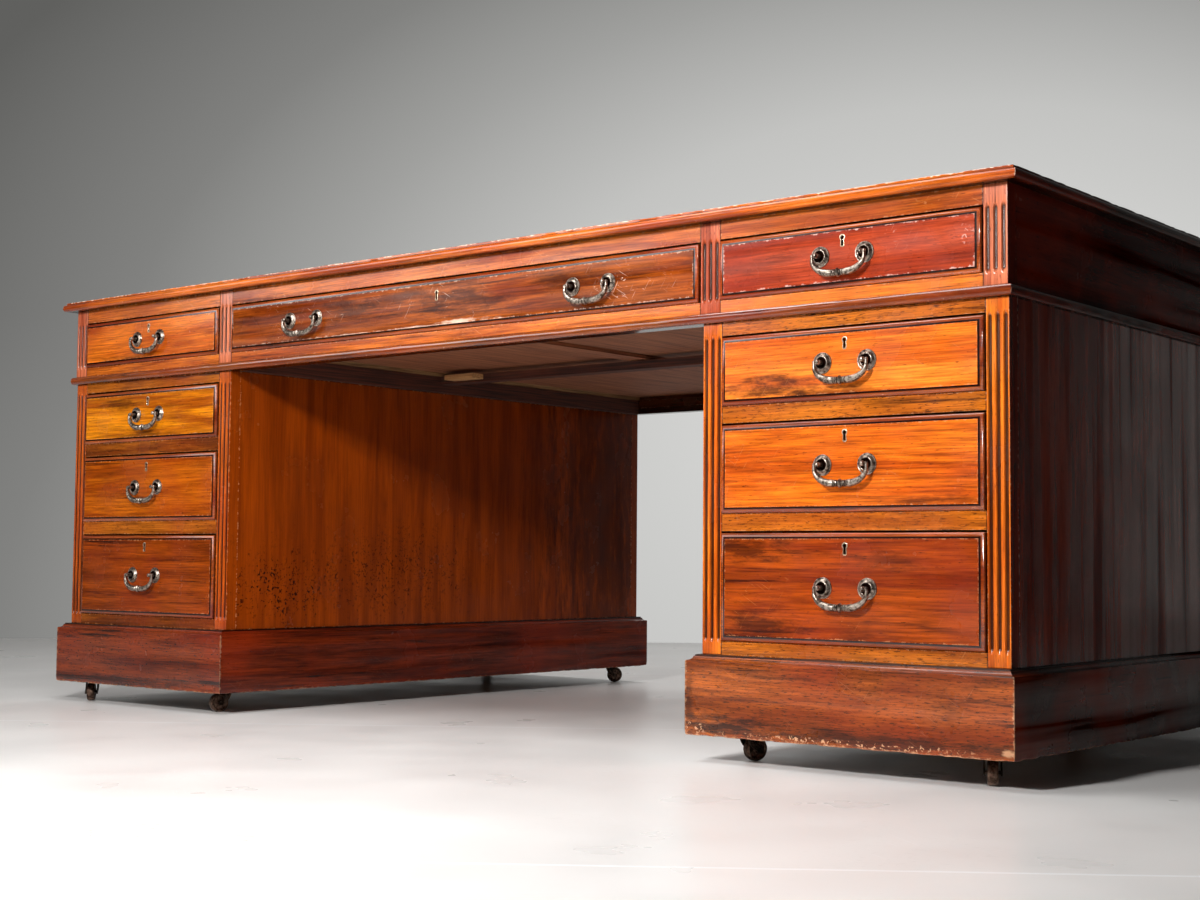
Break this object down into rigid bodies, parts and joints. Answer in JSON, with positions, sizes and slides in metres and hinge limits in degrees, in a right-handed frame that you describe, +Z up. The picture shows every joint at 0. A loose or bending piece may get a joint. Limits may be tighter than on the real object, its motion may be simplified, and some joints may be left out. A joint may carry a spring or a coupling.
{
  "type": "partners desk",
  "caption": "Pedestal partners desk with frieze drawers, pedestal drawers, rear cupboards, bail handles and castored plinths under a moulded leather-lined top.",
  "frame": {"origin": "on the floor, under the middle of the desk", "axes": "+X to the right of someone facing the front, +Y to the back, +Z up"},
  "size_m": [2.046, 1.2454, 0.78],
  "materials": {
    "mahogany_top": "french-polished mahogany with worn edges",
    "mahogany_carcass": "french-polished mahogany",
    "mahogany_drawer": "french-polished figured mahogany",
    "inner_oak": "unpolished, darkened with age",
    "writing_leather": "worn polished hide",
    "handle_bronze": "aged, rubbed",
    "caster_brass": "tarnished",
    "caster_wheel": "tarnished, turned"
  },
  "bodies": {
    "carcass": {"writing_top": "mahogany_top", "leather_inset": "writing_leather", "frieze_front_frame": "mahogany_carcass", "frieze_back_frame": "mahogany_carcass", "frieze_end_panels": "mahogany_carcass", "frieze_inner_frame": "inner_oak", "waist_moulding": "mahogany_carcass", "left_pedestal_sides": "mahogany_carcass", "left_pedestal_frames": "mahogany_carcass", "left_pedestal_boards": "inner_oak", "left_plinth": "mahogany_carcass", "right_pedestal_sides": "mahogany_carcass", "right_pedestal_frames": "mahogany_carcass", "right_pedestal_boards": "inner_oak", "right_plinth": "mahogany_carcass", "caster_plates": "caster_brass"},
    "front_frieze_left_drawer": {"front_frieze_left_drawer": "mahogany_drawer"},
    "front_frieze_left_bail": {"front_frieze_left_bail": "handle_bronze"},
    "front_frieze_centre_drawer": {"front_frieze_centre_drawer": "mahogany_drawer"},
    "front_frieze_centre_left_bail": {"front_frieze_centre_left_bail": "handle_bronze"},
    "front_frieze_centre_right_bail": {"front_frieze_centre_right_bail": "handle_bronze"},
    "front_frieze_right_drawer": {"front_frieze_right_drawer": "mahogany_drawer"},
    "front_frieze_right_bail": {"front_frieze_right_bail": "handle_bronze"},
    "back_frieze_left_drawer": {"back_frieze_left_drawer": "mahogany_drawer"},
    "back_frieze_left_bail": {"back_frieze_left_bail": "handle_bronze"},
    "back_frieze_centre_drawer": {"back_frieze_centre_drawer": "mahogany_drawer"},
    "back_frieze_centre_left_bail": {"back_frieze_centre_left_bail": "handle_bronze"},
    "back_frieze_centre_right_bail": {"back_frieze_centre_right_bail": "handle_bronze"},
    "back_frieze_right_drawer": {"back_frieze_right_drawer": "mahogany_drawer"},
    "back_frieze_right_bail": {"back_frieze_right_bail": "handle_bronze"},
    "left_bottom_drawer": {"left_bottom_drawer": "mahogany_drawer"},
    "left_bottom_bail": {"left_bottom_bail": "handle_bronze"},
    "left_middle_drawer": {"left_middle_drawer": "mahogany_drawer"},
    "left_middle_bail": {"left_middle_bail": "handle_bronze"},
    "left_top_drawer": {"left_top_drawer": "mahogany_drawer"},
    "left_top_bail": {"left_top_bail": "handle_bronze"},
    "right_bottom_drawer": {"right_bottom_drawer": "mahogany_drawer"},
    "right_bottom_bail": {"right_bottom_bail": "handle_bronze"},
    "right_middle_drawer": {"right_middle_drawer": "mahogany_drawer"},
    "right_middle_bail": {"right_middle_bail": "handle_bronze"},
    "right_top_drawer": {"right_top_drawer": "mahogany_drawer"},
    "right_top_bail": {"right_top_bail": "handle_bronze"},
    "left_cupboard_door": {"left_cupboard_door": "mahogany_drawer"},
    "right_cupboard_door": {"right_cupboard_door": "mahogany_drawer"},
    "left_front_outer_caster_fork": {"left_front_outer_caster_fork": "caster_brass"},
    "left_front_outer_caster_wheel": {"left_front_outer_caster_wheel": "caster_wheel"},
    "left_front_inner_caster_fork": {"left_front_inner_caster_fork": "caster_brass"},
    "left_front_inner_caster_wheel": {"left_front_inner_caster_wheel": "caster_wheel"},
    "right_front_inner_caster_fork": {"right_front_inner_caster_fork": "caster_brass"},
    "right_front_inner_caster_wheel": {"right_front_inner_caster_wheel": "caster_wheel"},
    "right_front_outer_caster_fork": {"right_front_outer_caster_fork": "caster_brass"},
    "right_front_outer_caster_wheel": {"right_front_outer_caster_wheel": "caster_wheel"},
    "left_back_outer_caster_fork": {"left_back_outer_caster_fork": "caster_brass"},
    "left_back_outer_caster_wheel": {"left_back_outer_caster_wheel": "caster_wheel"},
    "left_back_inner_caster_fork": {"left_back_inner_caster_fork": "caster_brass"},
    "left_back_inner_caster_wheel": {"left_back_inner_caster_wheel": "caster_wheel"},
    "right_back_inner_caster_fork": {"right_back_inner_caster_fork": "caster_brass"},
    "right_back_inner_caster_wheel": {"right_back_inner_caster_wheel": "caster_wheel"},
    "right_back_outer_caster_fork": {"right_back_outer_caster_fork": "caster_brass"},
    "right_back_outer_caster_wheel": {"right_back_outer_caster_wheel": "caster_wheel"}
  },
  "joints": [
    {"name": "front_frieze_left_slide", "type": "slide", "parent": "carcass", "child": "front_frieze_left_drawer", "axis": [0, -1, 0], "range_m": [0, 0.4]},
    {"name": "front_frieze_left_bail_swing", "type": "hinge", "parent": "front_frieze_left_drawer", "child": "front_frieze_left_bail", "pos_m": [-0.763, -0.6165, 0.69325], "axis": [-1, 0, 0], "range_deg": [0, 90]},
    {"name": "front_frieze_centre_slide", "type": "slide", "parent": "carcass", "child": "front_frieze_centre_drawer", "axis": [0, -1, 0], "range_m": [0, 0.4]},
    {"name": "front_frieze_centre_left_bail_swing", "type": "hinge", "parent": "front_frieze_centre_drawer", "child": "front_frieze_centre_left_bail", "pos_m": [-0.323, -0.6165, 0.69325], "axis": [-1, 0, 0], "range_deg": [0, 90]},
    {"name": "front_frieze_centre_right_bail_swing", "type": "hinge", "parent": "front_frieze_centre_drawer", "child": "front_frieze_centre_right_bail", "pos_m": [0.323, -0.6165, 0.69325], "axis": [-1, 0, 0], "range_deg": [0, 90]},
    {"name": "front_frieze_right_slide", "type": "slide", "parent": "carcass", "child": "front_frieze_right_drawer", "axis": [0, -1, 0], "range_m": [0, 0.4]},
    {"name": "front_frieze_right_bail_swing", "type": "hinge", "parent": "front_frieze_right_drawer", "child": "front_frieze_right_bail", "pos_m": [0.763, -0.6165, 0.69325], "axis": [-1, 0, 0], "range_deg": [0, 90]},
    {"name": "back_frieze_left_slide", "type": "slide", "parent": "carcass", "child": "back_frieze_left_drawer", "axis": [0, 1, 0], "range_m": [0, 0.4]},
    {"name": "back_frieze_left_bail_swing", "type": "hinge", "parent": "back_frieze_left_drawer", "child": "back_frieze_left_bail", "pos_m": [-0.763, 0.6165, 0.69325], "axis": [1, 0, 0], "range_deg": [0, 90]},
    {"name": "back_frieze_centre_slide", "type": "slide", "parent": "carcass", "child": "back_frieze_centre_drawer", "axis": [0, 1, 0], "range_m": [0, 0.4]},
    {"name": "back_frieze_centre_left_bail_swing", "type": "hinge", "parent": "back_frieze_centre_drawer", "child": "back_frieze_centre_left_bail", "pos_m": [-0.323, 0.6165, 0.69325], "axis": [1, 0, 0], "range_deg": [0, 90]},
    {"name": "back_frieze_centre_right_bail_swing", "type": "hinge", "parent": "back_frieze_centre_drawer", "child": "back_frieze_centre_right_bail", "pos_m": [0.323, 0.6165, 0.69325], "axis": [1, 0, 0], "range_deg": [0, 90]},
    {"name": "back_frieze_right_slide", "type": "slide", "parent": "carcass", "child": "back_frieze_right_drawer", "axis": [0, 1, 0], "range_m": [0, 0.4]},
    {"name": "back_frieze_right_bail_swing", "type": "hinge", "parent": "back_frieze_right_drawer", "child": "back_frieze_right_bail", "pos_m": [0.763, 0.6165, 0.69325], "axis": [1, 0, 0], "range_deg": [0, 90]},
    {"name": "left_bottom_slide", "type": "slide", "parent": "carcass", "child": "left_bottom_drawer", "axis": [0, -1, 0], "range_m": [0, 0.4]},
    {"name": "left_bottom_bail_swing", "type": "hinge", "parent": "left_bottom_drawer", "child": "left_bottom_bail", "pos_m": [-0.7645, -0.6135, 0.246], "axis": [-1, 0, 0], "range_deg": [0, 90]},
    {"name": "left_middle_slide", "type": "slide", "parent": "carcass", "child": "left_middle_drawer", "axis": [0, -1, 0], "range_m": [0, 0.4]},
    {"name": "left_middle_bail_swing", "type": "hinge", "parent": "left_middle_drawer", "child": "left_middle_bail", "pos_m": [-0.7645, -0.6135, 0.411], "axis": [-1, 0, 0], "range_deg": [0, 90]},
    {"name": "left_top_slide", "type": "slide", "parent": "carcass", "child": "left_top_drawer", "axis": [0, -1, 0], "range_m": [0, 0.4]},
    {"name": "left_top_bail_swing", "type": "hinge", "parent": "left_top_drawer", "child": "left_top_bail", "pos_m": [-0.7645, -0.6135, 0.549], "axis": [-1, 0, 0], "range_deg": [0, 90]},
    {"name": "right_bottom_slide", "type": "slide", "parent": "carcass", "child": "right_bottom_drawer", "axis": [0, -1, 0], "range_m": [0, 0.4]},
    {"name": "right_bottom_bail_swing", "type": "hinge", "parent": "right_bottom_drawer", "child": "right_bottom_bail", "pos_m": [0.7645, -0.6135, 0.246], "axis": [-1, 0, 0], "range_deg": [0, 90]},
    {"name": "right_middle_slide", "type": "slide", "parent": "carcass", "child": "right_middle_drawer", "axis": [0, -1, 0], "range_m": [0, 0.4]},
    {"name": "right_middle_bail_swing", "type": "hinge", "parent": "right_middle_drawer", "child": "right_middle_bail", "pos_m": [0.7645, -0.6135, 0.411], "axis": [-1, 0, 0], "range_deg": [0, 90]},
    {"name": "right_top_slide", "type": "slide", "parent": "carcass", "child": "right_top_drawer", "axis": [0, -1, 0], "range_m": [0, 0.4]},
    {"name": "right_top_bail_swing", "type": "hinge", "parent": "right_top_drawer", "child": "right_top_bail", "pos_m": [0.7645, -0.6135, 0.549], "axis": [-1, 0, 0], "range_deg": [0, 90]},
    {"name": "left_cupboard_door_hinge", "type": "hinge", "parent": "carcass", "child": "left_cupboard_door", "pos_m": [-0.9678, 0.599, 0.384], "axis": [0, 0, 1], "range_deg": [0, 110]},
    {"name": "right_cupboard_door_hinge", "type": "hinge", "parent": "carcass", "child": "right_cupboard_door", "pos_m": [0.9678, 0.599, 0.384], "axis": [0, 0, -1], "range_deg": [0, 110]},
    {"name": "left_front_outer_caster_swivel", "type": "hinge", "parent": "carcass", "child": "left_front_outer_caster_fork", "pos_m": [-0.966, -0.5675, 0.0487], "axis": [0, 0, 1], "continuous": true},
    {"name": "left_front_outer_wheel_spin", "type": "hinge", "parent": "left_front_outer_caster_fork", "child": "left_front_outer_caster_wheel", "pos_m": [-0.95593, -0.57722, 0.017], "axis": [0.6947, 0.7193, 0], "continuous": true},
    {"name": "left_front_inner_caster_swivel", "type": "hinge", "parent": "carcass", "child": "left_front_inner_caster_fork", "pos_m": [-0.575, -0.5535, 0.0487], "axis": [0, 0, 1], "continuous": true},
    {"name": "left_front_inner_wheel_spin", "type": "hinge", "parent": "left_front_inner_caster_fork", "child": "left_front_inner_caster_wheel", "pos_m": [-0.57839, -0.56708, 0.017], "axis": [0.9703, -0.2419, 0], "continuous": true},
    {"name": "right_front_inner_caster_swivel", "type": "hinge", "parent": "carcass", "child": "right_front_inner_caster_fork", "pos_m": [0.575, -0.5535, 0.0487], "axis": [0, 0, 1], "continuous": true},
    {"name": "right_front_inner_wheel_spin", "type": "hinge", "parent": "right_front_inner_caster_fork", "child": "right_front_inner_caster_wheel", "pos_m": [0.58024, -0.54052, 0.017], "axis": [-0.9272, 0.3746, 0], "continuous": true},
    {"name": "right_front_outer_caster_swivel", "type": "hinge", "parent": "carcass", "child": "right_front_outer_caster_fork", "pos_m": [0.954, -0.5535, 0.0487], "axis": [0, 0, 1], "continuous": true},
    {"name": "right_front_outer_wheel_spin", "type": "hinge", "parent": "right_front_outer_caster_fork", "child": "right_front_outer_caster_wheel", "pos_m": [0.96036, -0.56597, 0.017], "axis": [0.891, 0.454, 0], "continuous": true},
    {"name": "left_back_outer_caster_swivel", "type": "hinge", "parent": "carcass", "child": "left_back_outer_caster_fork", "pos_m": [-0.954, 0.5535, 0.0487], "axis": [0, 0, 1], "continuous": true},
    {"name": "left_back_outer_wheel_spin", "type": "hinge", "parent": "left_back_outer_caster_fork", "child": "left_back_outer_caster_wheel", "pos_m": [-0.96612, 0.5605, 0.017], "axis": [-0.5, -0.866, 0], "continuous": true},
    {"name": "left_back_inner_caster_swivel", "type": "hinge", "parent": "carcass", "child": "left_back_inner_caster_fork", "pos_m": [-0.575, 0.5535, 0.0487], "axis": [0, 0, 1], "continuous": true},
    {"name": "left_back_inner_wheel_spin", "type": "hinge", "parent": "left_back_inner_caster_fork", "child": "left_back_inner_caster_wheel", "pos_m": [-0.56353, 0.56153, 0.017], "axis": [-0.5736, 0.8192, 0], "continuous": true},
    {"name": "right_back_inner_caster_swivel", "type": "hinge", "parent": "carcass", "child": "right_back_inner_caster_fork", "pos_m": [0.575, 0.5535, 0.0487], "axis": [0, 0, 1], "continuous": true},
    {"name": "right_back_inner_wheel_spin", "type": "hinge", "parent": "right_back_inner_caster_fork", "child": "right_back_inner_caster_wheel", "pos_m": [0.56231, 0.54758, 0.017], "axis": [0.4226, -0.9063, 0], "continuous": true},
    {"name": "right_back_outer_caster_swivel", "type": "hinge", "parent": "carcass", "child": "right_back_outer_caster_fork", "pos_m": [0.954, 0.5535, 0.0487], "axis": [0, 0, 1], "continuous": true},
    {"name": "right_back_outer_wheel_spin", "type": "hinge", "parent": "right_back_outer_caster_fork", "child": "right_back_outer_caster_wheel", "pos_m": [0.95205, 0.56736, 0.017], "axis": [-0.9903, -0.1392, 0], "continuous": true}
  ]
}
